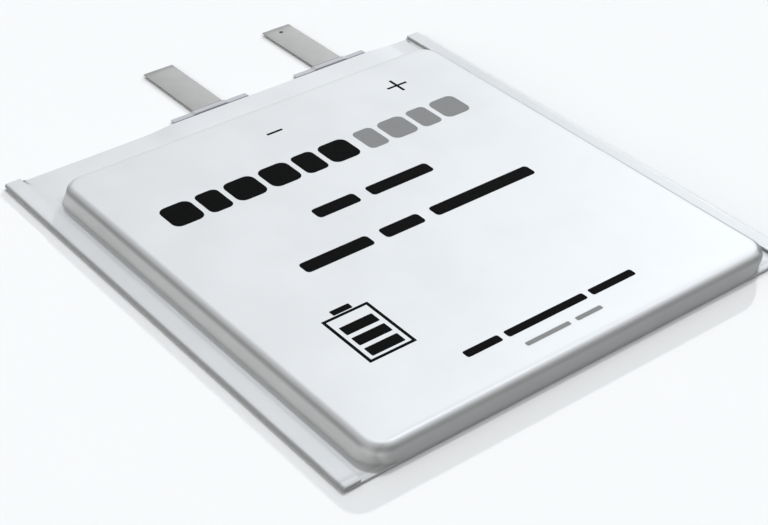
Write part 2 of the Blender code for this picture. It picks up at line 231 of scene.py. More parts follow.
def thicken(obj, thickness):
    """Gives a sheet its thickness on the side away from its normals, with cut edges."""
    solid = obj.modifiers.new("thickness", "SOLIDIFY")
    solid.thickness = thickness
    solid.offset = -1.0
    solid.material_offset_rim = 1 if len(obj.data.materials) > 1 else 0
    apply_modifiers(obj)


def edit_mesh(obj, operation):
    """Runs a bmesh operation on an object's own mesh."""
    bm = bmesh.new()
    bm.from_mesh(obj.data)
    operation(bm)
    bm.to_mesh(obj.data)
    bm.free()


def merge_points(obj, distance):
    edit_mesh(obj, lambda bm: bmesh.ops.remove_doubles(bm, verts=bm.verts, dist=distance))


def face_outward(obj):
    edit_mesh(obj, lambda bm: bmesh.ops.recalc_face_normals(bm, faces=bm.faces))


def register(obj, body, slot, *nodes):
    """Parents a piece to the empty of the body it rides and hides the nodes it replaces. The slot
    is not used.
    """
    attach(obj, body)
    if nodes:
        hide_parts(*nodes)
    return obj


# ---------------------------------------------------------------- node helpers


class Nodes:
    """A short way to write a material's nodes."""

    def __init__(self, name):
        self.material = bpy.data.materials.new(name)
        self.material.use_nodes = True
        self.tree = self.material.node_tree
        self.shader = self.tree.nodes["Principled BSDF"]
        self.position = self.add("ShaderNodeTexCoord").outputs["Object"]

    def add(self, kind, **values):
        node = self.tree.nodes.new(kind)
        for key, value in values.items():
            setattr(node, key, value)
        return node

    def link(self, source, target):
        self.tree.links.new(source, target)

    def set(self, **values):
        for key, value in values.items():
            self.shader.inputs[key.replace("_", " ")].default_value = value

    def stretched(self, scale):
        mapping = self.add("ShaderNodeMapping")
        mapping.inputs["Scale"].default_value = scale
        self.link(self.position, mapping.inputs["Vector"])
        return mapping.outputs["Vector"]

    def noise(self, scale, detail=3.0, stretch=None):
        node = self.add("ShaderNodeTexNoise")
        node.inputs["Scale"].default_value = scale
        node.inputs["Detail"].default_value = detail
        vector = self.stretched(stretch) if stretch else self.position
        self.link(vector, node.inputs["Vector"])
        return node.outputs["Fac"]

    def ramp(self, source, stops):
        node = self.add("ShaderNodeValToRGB")
        elements = node.color_ramp.elements
        while len(elements) < len(stops):
            elements.new(0.5)
        for element, (position, color) in zip(elements, stops):
            element.position = position
            element.color = (*color, 1.0)
        self.link(source, node.inputs["Fac"])
        return node.outputs["Color"]

    def along(self, axis):
        split = self.add("ShaderNodeSeparateXYZ")
        self.link(self.position, split.inputs["Vector"])
        return split.outputs[axis]

    def off_centre(self):
        """Distance from the cell's middle plane."""
        node = self.add("ShaderNodeMath", operation="ABSOLUTE")
        self.link(self.along("X"), node.inputs[0])
        return node.outputs["Value"]

    def multiplied(self, first, second, share=None):
        node = self.add("ShaderNodeMixRGB", blend_type="MULTIPLY")
        node.inputs["Fac"].default_value = 1.0
        if share:
            self.link(share, node.inputs["Fac"])
        self.link(first, node.inputs["Color1"])
        self.link(second, node.inputs["Color2"])
        return node.outputs["Color"]

    def mixed(self, share, first, second):
        """The first colour, turning to a second plain one as the share rises."""
        node = self.add("ShaderNodeMixRGB")
        node.inputs["Color2"].default_value = (*second, 1.0)
        self.link(share, node.inputs["Fac"])
        self.link(first, node.inputs["Color1"])
        return node.outputs["Color"]

    def spread(self, source, low, high, start=0.3, end=0.7):
        node = self.add("ShaderNodeMapRange")
        node.inputs["From Min"].default_value = start
        node.inputs["From Max"].default_value = end
        node.inputs["To Min"].default_value = low
        node.inputs["To Max"].default_value = high
        self.link(source, node.inputs["Value"])
        return node.outputs["Result"]

    def bands(self, source, limits, stops):
        """Tones that follow one another while the source goes from one limit to the other."""
        return self.ramp(self.spread(source, 0.0, 1.0, *limits), stops)

    def bump(self, source, height, previous=None):
        node = self.add("ShaderNodeBump")
        node.inputs["Distance"].default_value = height
        self.link(source, node.inputs["Height"])
        if previous:
            self.link(previous, node.inputs["Normal"])
        return node.outputs["Normal"]

    def finish(self, color, roughness, normal=None):
        self.link(color, self.shader.inputs["Base Color"])
        self.link(roughness, self.shader.inputs["Roughness"])
        if normal:
            self.link(normal, self.shader.inputs["Normal"])
        return self.material


def grey(level, tint=(1.0, 1.0, 1.0)):
    return tuple(level * t for t in tint)


COOL = (0.975, 0.995, 1.02)
WARM = (1.02, 1.0, 0.97)
NICKEL_TINT = (1.04, 1.0, 0.955)
LILAC = (1.0, 0.985, 1.05)
COPPER_DARK = (0.74, 0.36, 0.22)
COPPER_LIGHT = (0.84, 0.46, 0.31)
AMBER_DARK = (0.66, 0.33, 0.05)
AMBER_LIGHT = (0.78, 0.43, 0.09)


# Painted shade and painted light, multiplied into the skin's colour between the limits given under
# each list. Round the cup's edge, from low to high: a painted dark line at the wall's foot,
# painted light on the lower walls and painted shade on the rounded shoulder
PAINTED_EDGE_SHADING = [
    (0.01, grey(1.0)), (0.03, grey(0.92)), (0.07, grey(0.95)), (0.12, grey(1.18)),
    (0.30, grey(1.17)), (0.52, grey(1.08)), (0.63, grey(1.04)), (0.72, grey(0.78)),
    (0.78, grey(0.60)), (0.85, grey(0.60)), (0.91, grey(0.86)), (0.976, grey(1.0)),
]
PAINTED_EDGE_SHADING_Z = mm(0.15, 2.25)

# How much of that painted shade and light is applied, from the cup's face outward to its side
# walls
EDGE_SHADING_SHARES = [(0.0, grey(0.15)), (0.80, grey(1.0)), (0.985, grey(1.0)), (1.0, grey(0.0))]
EDGE_SHADING_X = (19.5 * MM, WALL_X)
FLANGE_START_Y = (WALL_BACK, WALL_BACK + 0.05 * MM)

# Painted shade down the front wall, from outside to inside, darkening the wall and dimming the
# highlight on its rounded edge
FRONT_WALL_SHADE = [
    (0.0, grey(0.76)), (0.10, grey(0.72)), (0.20, grey(0.80)), (0.34, grey(0.98)),
    (0.45, grey(0.95)), (0.60, grey(0.84)), (0.75, grey(0.91)), (1.0, grey(1.0)),
]
FRONT_WALL_Y = mm(-26.55, -25.35)

# Painted shade on the right side, from low to high: the right hem, flange and wall a little
# darker, and a dark line under the right wall's rim
RIGHT_SIDE_SHADE = [(0.0, grey(0.9)), (0.20, grey(0.55)), (0.80, grey(0.55)), (1.0, grey(1.0))]
RIGHT_RIM_Z = mm(1.90, 2.22)
RIGHT_RIM_X = mm(20.5, 21.0)

# Painted shade round each hem's outer fold, from inside to outside
FOLD_SHADE = [(0.0, grey(1.0)), (0.35, grey(0.92)), (0.70, grey(0.58)), (1.0, grey(0.52))]
FOLD_X_LIMITS = mm(24.80, 25.0)

# Dark lines across the tabs and their films, from full to none: a dark line on each tab where it
# leaves its film, and painted shade on the films in the gap under the laminate's edge
TAB_ROOT_LINE = (FILM_END + 0.10 * MM, FILM_END + 0.18 * MM)
FILM_EDGE_SHADE = (SEAL_EDGE + 0.48 * MM, SEAL_EDGE + 0.60 * MM)


def laminate_material():
    """Pearl-silver foil laminate: cloudy satin with a fine grain and faint rolling lines, with
    painted shade and painted light multiplied into its colour round the cup's edges, walls and
    hems.
    """
    n = Nodes("laminate_satin")
    clouds = n.noise(160, 2.0)
    grain = n.noise(9000, 2.0)
    lines = n.noise(900, 2.0, stretch=(1.0, 0.03, 1.0))
    color = n.ramp(clouds, [(0.35, grey(0.547)), (0.65, grey(0.573))])
    # Painted shade and painted light round the cup's edge and walls, strongest on the side walls
    edge_shading_share = n.bands(n.off_centre(), EDGE_SHADING_X, EDGE_SHADING_SHARES)
    edge_shading_share = n.multiplied(edge_shading_share, n.spread(n.along("Y"), 1.0, 0.0, *FLANGE_START_Y))
    color = n.multiplied(color, n.bands(n.along("Z"), PAINTED_EDGE_SHADING_Z, PAINTED_EDGE_SHADING), edge_shading_share)
    # Painted shade on the outer fold of each hem
    color = n.multiplied(color, n.bands(n.off_centre(), FOLD_X_LIMITS, FOLD_SHADE))
    # Painted shade on the front wall and its rounded edge
    color = n.multiplied(color, n.bands(n.along("Y"), FRONT_WALL_Y, FRONT_WALL_SHADE))
    # Painted shade on the right side and a dark line under its rim
    right_shade_share = n.spread(n.along("X"), 0.0, 1.0, *RIGHT_RIM_X)
    color = n.multiplied(color, n.bands(n.along("Z"), RIGHT_RIM_Z, RIGHT_SIDE_SHADE), right_shade_share)
    rough = n.spread(clouds, 0.47, 0.53)
    normal = n.bump(lines, 0.0012 * MM)
    normal = n.bump(grain, 0.0010 * MM, normal)
    n.set(Metallic=0.35)
    return n.finish(color, rough, normal)


def laminate_edge_material():
    """The cut edge of the laminate, where the foil core shows between two plastic layers."""
    n = Nodes("laminate_edge")
    streaks = n.noise(1500, 3.0, stretch=(1.0, 1.0, 12.0))
    color = n.ramp(streaks, [(0.3, grey(0.30, WARM)), (0.7, grey(0.46, WARM))])
    rough = n.spread(streaks, 0.40, 0.60)
    n.set(Metallic=0.4)
    return n.finish(color, rough, n.bump(streaks, 0.004 * MM))


def sealant_material():
    """Fused polypropylene between the films: milky, with small bubbles."""
    n = Nodes("fused_sealant")
    cloud = n.noise(1200, 3.0)
    color = n.ramp(cloud, [(0.3, grey(0.62, WARM)), (0.7, grey(0.74, WARM))])
    return n.finish(color, n.spread(cloud, 0.45, 0.60), n.bump(cloud, 0.004 * MM))


def nickel_material():
    """Satin rolled nickel: lengthwise lines, a slight mottle and a dark line at the seal film."""
    n = Nodes("rolled_nickel")
    mottle = n.noise(900, 4.0)
    lines = n.noise(7000, 2.0, stretch=(1.0, 0.02, 1.0))
    color = n.ramp(mottle, [(0.3, grey(0.32, NICKEL_TINT)), (0.7, grey(0.35, NICKEL_TINT))])
    root = n.spread(n.along("Y"), 1.0, 0.0, *TAB_ROOT_LINE)
    color = n.mixed(root, color, grey(0.07))
    rough = n.spread(mottle, 0.46, 0.54)
    normal = n.bump(lines, 0.0015 * MM)
    normal = n.bump(n.noise(3500, 3.0), 0.0012 * MM, normal)
    n.set(Metallic=0.70)
    return n.finish(color, rough, normal)


def tab_film_material():
    """Grey polypropylene film: fine extrusion lines, and painted shade where it passes under the
    laminate's edge.
    """
    n = Nodes("seal_film")
    lines = n.noise(1800, 3.0, stretch=(0.05, 1.0, 1.0))
    color = n.ramp(lines, [(0.3, grey(0.43, LILAC)), (0.7, grey(0.47, LILAC))])
    # Painted shade where the film passes under the laminate's edge
    film_shade = n.spread(n.along("Y"), 1.0, 0.0, *FILM_EDGE_SHADE)
    color = n.mixed(film_shade, color, grey(0.12, LILAC))
    n.set(Alpha=0.90, IOR=1.49, Specular_IOR_Level=0.3)
    return n.finish(color, n.spread(lines, 0.40, 0.50), n.bump(lines, 0.002 * MM))


def ink_material(name, level, specular):
    """Printed ink: a slightly uneven coat with a fine screen texture."""
    n = Nodes(name)
    cover = n.noise(2600, 3.0)
    color = n.ramp(cover, [(0.3, grey(level * 0.96)), (0.7, grey(level * 1.04))])
    n.set(Specular_IOR_Level=specular)
    return n.finish(color, n.spread(cover, 0.60, 0.75), n.bump(cover, 0.0010 * MM))


def foil_material(name, dark, light, rough, metallic):
    """Rolled foil: lengthwise lines, soft clouds and small dents."""
    n = Nodes(name)
    lines = n.noise(5000, 3.0, stretch=(1.0, 0.03, 1.0))
    clouds = n.noise(350, 3.0)
    color = n.ramp(clouds, [(0.3, dark), (0.7, light)])
    normal = n.bump(lines, 0.0015 * MM)
    normal = n.bump(clouds, 0.01 * MM, normal)
    n.set(Metallic=metallic)
    return n.finish(color, n.spread(lines, rough - 0.06, rough + 0.08), normal)


def cathode_material():
    """Pressed black powder mix with fine grain and calender streaks."""
    n = Nodes("pressed_mix")
    grain = n.noise(6000, 4.0)
    color = n.ramp(grain, [(0.3, grey(0.018)), (0.7, grey(0.045))])
    return n.finish(color, n.spread(grain, 0.80, 0.95), n.bump(grain, 0.006 * MM))


def separator_material():
    """White microporous film with faint stretch marks."""
    n = Nodes("separator_film")
    marks = n.noise(1500, 3.0, stretch=(1.0, 0.1, 1.0))
    color = n.ramp(marks, [(0.3, grey(0.84, WARM)), (0.7, grey(0.90, WARM))])
    return n.finish(color, n.spread(marks, 0.50, 0.65), n.bump(marks, 0.002 * MM))


def tape_material():
    """Amber polyimide tape with a slightly wavy glossy face."""
    n = Nodes("amber_tape")
    waves = n.noise(700, 2.0)
    color = n.ramp(waves, [(0.3, AMBER_DARK), (0.7, AMBER_LIGHT)])
    n.set(Coat_Weight=0.4, Coat_Roughness=0.12)
    return n.finish(color, n.spread(waves, 0.20, 0.32), n.bump(waves, 0.004 * MM))


def floor_material():
    """Matt white paper with hardly visible clouds."""
    n = Nodes("studio_floor")
    clouds = n.noise(60, 3.0)
    dark, light = grey(FLOOR_ALBEDO - FLOOR_CLOUDS), grey(FLOOR_ALBEDO + FLOOR_CLOUDS)
    n.set(Specular_IOR_Level=0.0)
    return n.finish(n.ramp(clouds, [(0.2, dark), (0.8, light)]), n.spread(clouds, 0.9, 1.0))


# ---------------------------------------------------------------- film shapes


def fold_drop(y):
    """How far a film's outer face turns in where the laminate folds round the bottom edge."""
    reach = np.clip(BOTTOM_FOLD - (y + HALF_LENGTH), 0.0, BOTTOM_FOLD)
    return BOTTOM_FOLD - np.sqrt(np.maximum(BOTTOM_FOLD**2 - reach**2, 0.0))


def land_height(x, y):
    """The terminal flange stands up over the tabs and their films, and slopes off beside them."""
    if y <= 0:
        return 0.0
    outside = max(LAND_LEFT - x, x - LAND_RIGHT, 0.0)
    return LAND_HEIGHT * (1 - float(ease(outside / LAND_RAMP)))


def flange_height(x, y):
    return FLANGE_TOP + land_height(x, y) - float(fold_drop(y))


def back_side_places(half):
    """X places along the cup's back wall, closer together where the flange slopes."""
    places = set(np.linspace(-half, half, BACK_POINTS))
    places.update(np.linspace(LAND_LEFT - LAND_RAMP, LAND_LEFT, RAMP_POINTS))
    places.update(np.linspace(LAND_RIGHT, LAND_RIGHT + LAND_RAMP, RAMP_POINTS))
    inside = sorted(x for x in places if -half <= x <= half)
    return [x for x, after in zip(inside, inside[1:]) if after - x > CLOSEST_POINTS] + [half]


def leg_along_edge(inner, outer):
    """X places along a terminal or bottom edge corner, with the notch's two sides."""
    inside = np.linspace(inner, NOTCH_X - NOTCH_STEP, LEG_POINTS)
    outside = np.linspace(NOTCH_X + NOTCH_STEP, outer, NOTCH_POINTS)
    return list(inside) + list(outside)


def corner_direction(corner, share):
    """The outward direction part of the way round a corner. Corner 0 is the front right one."""
    angle = math.radians(-90 + 90 * corner + 90 * share)
    return (math.cos(angle), math.sin(angle))


class Outline:
    """The cup's rounded outline, walked anticlockwise from its front left straight end.

    Each station is (side, share): the four straight sides and the four corners in turn.
    """

    def __init__(self):
        self.half_x = WALL_X - CORNER_RADIUS
        self.front_y = WALL_FRONT + CORNER_RADIUS
        self.back_y = WALL_BACK - CORNER_RADIUS
        self.stations = []
        back = [(x + self.half_x) / (2 * self.half_x) for x in back_side_places(self.half_x)]
        straights = {
            "front": list(np.linspace(0, 1, FRONT_POINTS)),
            "right": list(np.linspace(0, 1, SIDE_POINTS)),
            "back": [1 - t for t in reversed(back)],
            "left": list(np.linspace(0, 1, SIDE_POINTS)),
        }
        for corner, (side, shares) in enumerate(straights.items()):
            self.stations += [(side, t) for t in shares[:-1]]
            self.stations += [(corner, k / CORNER_STEPS) for k in range(CORNER_STEPS)]

    def walk(self, straights, corner_point):
        """Points at the stations: between a straight side's two ends, or round a corner."""
        points = []
        for side, t in self.stations:
            if side in straights:
                (x0, y0), (x1, y1) = straights[side]
                points.append((x0 + (x1 - x0) * t, y0 + (y1 - y0) * t))
            else:
                points.append(corner_point(side, t))
        return np.array(points)

    def outward(self):
        """Outward directions at the stations."""
        sides = {"front": (0, -1), "right": (1, 0), "back": (0, 1), "left": (-1, 0)}
        directions = [sides.get(side) or corner_direction(side, t) for side, t in self.stations]
        return np.array(directions)

    def ring(self, draft, inset):
        """The outline, drawn in by a wall's draft and an inset. Without draft it is the foot."""
        half_x = WALL_X - draft - inset
        y0 = WALL_FRONT + inset
        y1 = WALL_BACK - draft - inset
        front = (CORNER_RADIUS - draft / 2 if draft else FRONT_FOOT_RADIUS) - inset
        back = (CORNER_RADIUS - draft / 2 if draft else BACK_FOOT_RADIUS) - inset
        front_x, front_y = half_x - front, y0 + front
        back_x, back_y = half_x - back, y1 - back
        straights = {
            "front": ((-front_x, y0), (front_x, y0)),
            "right": ((half_x, front_y), (half_x, back_y)),
            "back": ((back_x, y1), (-back_x, y1)),
            "left": ((-half_x, back_y), (-half_x, front_y)),
        }
        centres = [(front_x, front_y), (back_x, back_y), (-back_x, back_y), (-front_x, front_y)]
        radii = (front, back, back, front)

        def corner_point(corner, t):
            direction = corner_direction(corner, t)
            return tuple(c + radii[corner] * d for c, d in zip(centres[corner], direction))

        return self.walk(straights, corner_point)

    def edge(self):
        """The flange's outer edge: the terminal and bottom edges and the two side folds."""
        half = self.half_x
        along = leg_along_edge(half, FOLD_X)
        steps = CORNER_STEPS - len(along) + 1
        rise = [(k / steps) ** 2 for k in range(1, steps + 1)]
        front_leg = [(x, -HALF_LENGTH) for x in along]
        front_leg += [(FOLD_X, -HALF_LENGTH + (self.front_y + HALF_LENGTH) * t) for t in rise]
        back_leg = [(x, HALF_LENGTH if x > NOTCH_X else SEAL_EDGE) for x in along]
        back_leg += [(FOLD_X, HALF_LENGTH - (HALF_LENGTH - self.back_y) * t) for t in rise]
        corners = [
            front_leg,
            list(reversed(back_leg)),
            [(-x, y) for x, y in back_leg],
            [(-x, y) for x, y in reversed(front_leg)],
        ]
        straights = {
            "front": ((-half, -HALF_LENGTH), (half, -HALF_LENGTH)),
            "right": ((FOLD_X, self.front_y), (FOLD_X, self.back_y)),
            "back": ((half, SEAL_EDGE), (-half, SEAL_EDGE)),
            "left": ((-FOLD_X, self.back_y), (-FOLD_X, self.front_y)),
        }
        return self.walk(straights, lambda corner, t: corners[corner][round(t * CORNER_STEPS)])


def room_outside(points, outward):
    """How far each point is from the flange's edge in its outward direction."""
    tiny = 1e-6
    room = []
    for (x, y), (dx, dy) in zip(points, outward):
        limits = []
        if abs(dx) > tiny:
            limits.append((FOLD_X - abs(x)) / abs(dx))
        if dy > tiny:
            limits.append((SEAL_EDGE - y) / dy)
        if dy < -tiny:
            limits.append((y + HALF_LENGTH) / -dy)
        room.append(min(limits))
    return np.array(room)


def face_rings(face):
    """Rings of the cup's slightly crowned face, from a spine in its middle to its edge."""
    spine_y = np.clip(face[:, 1] - SPINE_Y, -SPINE_HALF, SPINE_HALF) + SPINE_Y
    spine = np.column_stack([np.zeros(len(face)), spine_y])
    rings = []
    for share in FACE_SHARES:
        points = spine + (face - spine) * share
        inset = np.linalg.norm(face - points, axis=1)
        drop = CROWN_DROP * np.clip(1 - inset / CROWN_WIDTH, 0, 1) ** 2
        rings.append(np.column_stack([points, TOP - drop]))
    return rings


def shoulder_rings(shoulder, outward, slope):
    """Rings of the rounded edge between the cup's face and its leaning wall."""
    rings = []
    for share in np.linspace(0, 1, SHOULDER_POINTS):
        angle = share * (math.pi / 2 - slope)
        reach = EDGE_RADIUS * (np.sin(angle) - 1)
        level = TOP - CROWN_DROP - EDGE_RADIUS * (1 - np.cos(angle))
        rings.append(np.column_stack([shoulder + outward * reach[:, None], level]))
    return rings


def cup_rings(outline):
    """Rings of the cup and flange, from the middle of the cup's face to the flange's edge."""
    outward = outline.outward()
    base = outline.ring(0.0, 0.0)
    shoulder = outline.ring(WALL_DRAFT, 0.0)
    foot = np.array([flange_height(x, y) for x, y in base])
    lean = np.einsum("ij,ij->i", base - shoulder, outward)
    slope = np.arctan2(lean, TOP - CROWN_DROP - EDGE_RADIUS - foot)
    rings = face_rings(outline.ring(WALL_DRAFT, EDGE_RADIUS))
    rings += shoulder_rings(shoulder, outward, slope)
    wall_top = rings[-1]
    fillet = np.minimum(FOOT_FILLET, FILLET_SHARE * room_outside(base, outward))
    wall_foot = np.column_stack([base, foot + fillet])
    rings += [wall_top + (wall_foot - wall_top) * share for share in WALL_SHARES]
    for angle in np.radians(FILLET_ANGLES):
        points = base + outward * (fillet * (1 - math.cos(angle)))[:, None]
        rings.append(np.column_stack([points, foot + fillet * (1 - math.sin(angle))]))
    edge = outline.edge()
    start = base + outward * fillet[:, None]
    for share in FLANGE_SHARES:
        points = start + (edge - start) * share
        level = np.array([flange_height(x, y) for x, y in points])
        rings.append(np.column_stack([points, level]))
    return rings


def hem_places(root, side, y):
    """Points of one hem layer across a row: round the fold and back to the free edge."""
    places = []
    for angle in np.radians(np.linspace(-90, 90, HEM_TURN_POINTS)):
        places.append((FOLD_X + root * math.cos(angle), FOLD_CENTRE + root * math.sin(angle)))
    for share in HEM_SHARES:
        places.append((FOLD_X + (HEM_X - FOLD_X) * share, FOLD_CENTRE + root))
    return [(side * x, y, z) for x, z in places]


def make_front_film(mats):
    """The drawn film: the cup, its flanges, and the inner layers of both side hems."""
    outline = Outline()
    rings = cup_rings(outline)
    count = len(outline.stations)
    verts = [point for ring in rings for point in ring]
    numbers = [[k * count + i for i in range(count)] for k in range(len(rings))]
    faces = grid_faces(numbers, wrap=True)
    edge = rings[-1]
    on_fold = 1e-7
    for side in (-1, 1):
        rows = [i for i in range(count) if abs(edge[i][0] - side * FOLD_X) < on_fold]
        rows.sort(key=lambda i: side * edge[i][1])
        lines = []
        for i in rows:
            y = edge[i][1]
            root = FRONT_ROOT + float(fold_drop(y))
            start = len(verts)
            verts += hem_places(root, side, y)[1:]
            lines.append([i + (len(rings) - 1) * count] + list(range(start, len(verts))))
        faces += grid_faces([list(column) for column in zip(*lines)])
    film = new_piece("front_laminate", verts, faces, mats)
    merge_points(film, MERGE_DISTANCE)
    thicken(film, SKIN_THICKNESS)
    return register(film, POUCH, "laminate_film", "front_film")


def back_rows():
    """Y places of the back film's rows, closer together round the bottom fold."""
    turns = np.radians(range(0, 91, 15))
    near_fold = [-HALF_LENGTH + BOTTOM_FOLD * (1 - math.cos(turn)) for turn in turns]
    past_fold = -HALF_LENGTH + 0.5 * MM
    before_edge = HALF_LENGTH - 0.3 * MM
    flat = np.linspace(past_fold, before_edge, ROW_POINTS)
    return near_fold + list(flat) + [HALF_LENGTH]


def make_back_film(mats):
    """The flat film, which wraps both hems. Between them its terminal edge is cut back."""
    flat = leg_along_edge(-WALL_X, FOLD_X)[1:-1]
    flat = [-x for x in reversed(flat)] + flat
    flat = sorted(set(round(x, 9) for x in flat if abs(x) < FOLD_X))
    lines = []
    verts = []
    for y in back_rows():
        root = BACK_ROOT - float(fold_drop(y))
        line = list(reversed(hem_places(root, -1, y)))
        line += [(x, y, FOLD_CENTRE - root) for x in flat]
        line += hem_places(root, 1, y)
        if y == HALF_LENGTH:
            line = [
                (x, SEAL_EDGE if abs(x) < NOTCH_X and z < FOLD_CENTRE else y, z)
                for x, y, z in line
            ]
        lines.append(list(range(len(verts), len(verts) + len(line))))
        verts += line
    film = new_piece("back_laminate", verts, grid_faces(lines), mats)
    thicken(film, SKIN_THICKNESS)
    return register(film, POUCH, "laminate_film", "back_film")


def make_side_seal(name, side, mats):
    """The sealant between the films of one hem, stopping short of the bottom fold."""
    start_x = WALL_X + 0.2 * MM
    rows = np.linspace(-HALF_LENGTH + BOTTOM_FOLD, SEAL_EDGE - LAYER_GAP, ROW_POINTS)
    root = SEAL_ROOT + SEAL_THICKNESS
    verts = []
    lines = []
    for y in rows:
        line = [(side * start_x, y, FOLD_CENTRE - root)] + hem_places(root, side, y)
        if side < 0:
            line.reverse()
        lines.append(list(range(len(verts), len(verts) + len(line))))
        verts += line
    seal = new_piece(name + "_visual", verts, grid_faces(lines), mats)
    thicken(seal, SEAL_THICKNESS)
    return register(seal, POUCH, "sealant", name)


def make_terminal_seal(mats):
    """The sealant along the terminal edge, which fills the flange round and over the tab films."""
    low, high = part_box("terminal_seal")
    film_low, film_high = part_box("negative_tab_film_upper")
    film_half = (film_high.x - film_low.x) / 2 + LAYER_GAP
    above_film = film_high.z + LAYER_GAP
    step = 0.002 * MM
    places = [(x, low.z) for x in np.linspace(low.x, high.x, SEAL_POINTS)]
    for centre in TAB_CENTRES.values():
        places = [place for place in places if abs(place[0] - centre) > film_half + step]
        for side in (-1, 1):
            edge = centre + side * film_half
            places += [(edge + side * step, low.z), (edge, above_film)]
    verts = []
    for x, bottom in sorted(places):
        top = flange_height(x, high.y) - FILM - LAYER_GAP
        ring = [(low.y, bottom), (high.y, bottom), (high.y, top), (low.y, top)]
        verts += [(x, y, z) for y, z in ring]
    count = len(places)
    rings = [[4 * k + i for i in range(4)] for k in range(count)]
    faces = grid_faces(rings, wrap=True)
    faces += [tuple(rings[0]), tuple(reversed(rings[-1]))]
    seal = new_piece("terminal_seal_visual", verts, faces, mats)
    face_outward(seal)
    return register(seal, POUCH, "sealant", "terminal_seal")


# ---------------------------------------------------------------- tabs


def strip_section(centre, half, low, high, bevel):
    """A strip's cross-section in XZ with small rounded edges, anticlockwise seen from +Y."""
    corners = [(half, low, -90), (half, high, 0), (-half, high, 90), (-half, low, 180)]
    points = []
    for x, z, start in corners:
        cx = centre + x - math.copysign(bevel, x)
        cz = z + bevel if z == low else z - bevel
        for step in range(4):
            angle = math.radians(start + 30 * step)
            points.append((cx + bevel * math.cos(angle), cz + bevel * math.sin(angle)))
    return points


def make_tab(pole, mats):
    """One straight nickel strip from the stack's weld to the tip, with closer rows where it leaves
    the pouch.
    """
    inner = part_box(pole + "_tab")
    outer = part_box(pole + "_tab_lug")
    centre = TAB_CENTRES[pole]
    bend_y = outer[0].y + BEND_FROM_ROOT
    low, high = outer[0].z, outer[1].z
    tip_y = outer[1].y
    bend = np.linspace(bend_y - BEND_HALF_LENGTH, bend_y + BEND_HALF_LENGTH, BEND_POINTS)
    rows = list(np.linspace(inner[0].y, bend[0], TAIL_POINTS)[:-1]) + list(bend)
    rows += list(np.linspace(bend[-1], tip_y - TIP_ROW, LUG_POINTS)[1:]) + [tip_y]
    verts = []
    rings = []
    for y in rows:
        tip = TIP_ROUND if y == tip_y else 0.0
        section = strip_section(centre, TAB_HALF_WIDTH - tip, low + tip, high - tip, TAB_BEVEL)
        rings.append(list(range(len(verts), len(verts) + len(section))))
        verts += [(x, y, z) for x, z in section]
    faces = [tuple(reversed(face)) for face in grid_faces(rings, wrap=True)]
    faces.append(tuple(rings[0]))
    faces.append(tuple(reversed(rings[-1])))
    tab = new_piece(pole + "_tab_strip", verts, faces, mats, sharp=50)
    face_outward(tab)
    if pole == "positive":
        punch_hole(tab, centre, tip_y - HOLE_FROM_TIP, (low + high) / 2)
    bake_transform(tab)
    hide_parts(pole + "_tab", pole + "_tab_lug")
    return tab


def punch_hole(tab, x, y, z):
    """Cuts a small round hole through a tab with a cylinder much longer than it is thick."""
    bm = bmesh.new()
    bmesh.ops.create_cone(
        bm, cap_ends=True, segments=32, radius1=HOLE_RADIUS, radius2=HOLE_RADIUS, depth=1.0 * MM
    )
    bmesh.ops.translate(bm, verts=bm.verts, vec=(x, y, z))
    mesh = bpy.data.meshes.new("hole_cutter")
    bm.to_mesh(mesh)
    bm.free()
    cutter = add_object("hole_cutter", mesh)
    cut = tab.modifiers.new("hole", "BOOLEAN")
    cut.object = cutter
    cut.operation = "DIFFERENCE"
    cut.solver = "EXACT"
    apply_modifiers(tab, sharp=50)
    bpy.data.objects.remove(cutter)


def film_sag(x, y):
    """How much of its way down to the lower film the upper one has gone, from 0 to 1."""
    aside = ease((abs(x) - SAG_START_X) / SAG_WIDTH)
    out = ease((y - SAG_START_Y) / SAG_LENGTH)
    return float(aside * out)


def make_tab_film(pole, level, mats):
    """A heat-seal film on one side of a tab. The upper one drops to meet the lower beside it."""
    node = pole + "_tab_film_" + level
    low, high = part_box(node)
    centre = TAB_CENTRES[pole]
    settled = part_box(pole + "_tab_film_lower")[1].z + SETTLED_GAP
    drop = high.z - settled if level == "upper" else 0.0
    xs = list(np.linspace(centre - high.x, -FILM_FLAT_X, 6))
    xs += list(np.linspace(-FILM_STEP_X, -TAB_HALF_WIDTH, 12))
    xs += [-x for x in reversed(xs)]
    ys = list(np.linspace(low.y, SEAL_EDGE, 8)) + list(np.linspace(SEAL_EDGE, high.y, 13)[1:])
    verts = []
    lines = []
    for y in ys:
        lines.append(list(range(len(verts), len(verts) + len(xs))))
        verts += [(centre + x, y, high.z - drop * film_sag(x, y)) for x in xs]
    faces = [tuple(reversed(face)) for face in grid_faces(lines)]
    film = new_piece(pole + "_" + level + "_seal_film", verts, faces, mats)
    thicken(film, high.z - low.z)
    return register(film, POUCH, "tab_film", node)


# ---------------------------------------------------------------- print


def rounded_bar(x0, x1, y0, y1, radius):
    points = []
    centres = [(x1 - radius, y0 + radius), (x1 - radius, y1 - radius)]
    centres += [(x0 + radius, y1 - radius), (x0 + radius, y0 + radius)]
    for k, (cx, cy) in enumerate(centres):
        for step in range(BAR_CORNER_STEPS + 1):
            angle = math.radians(-90 + 90 * k + 90 * step / BAR_CORNER_STEPS)
            points.append((cx + radius * math.cos(angle), cy + radius * math.sin(angle)))
    return points


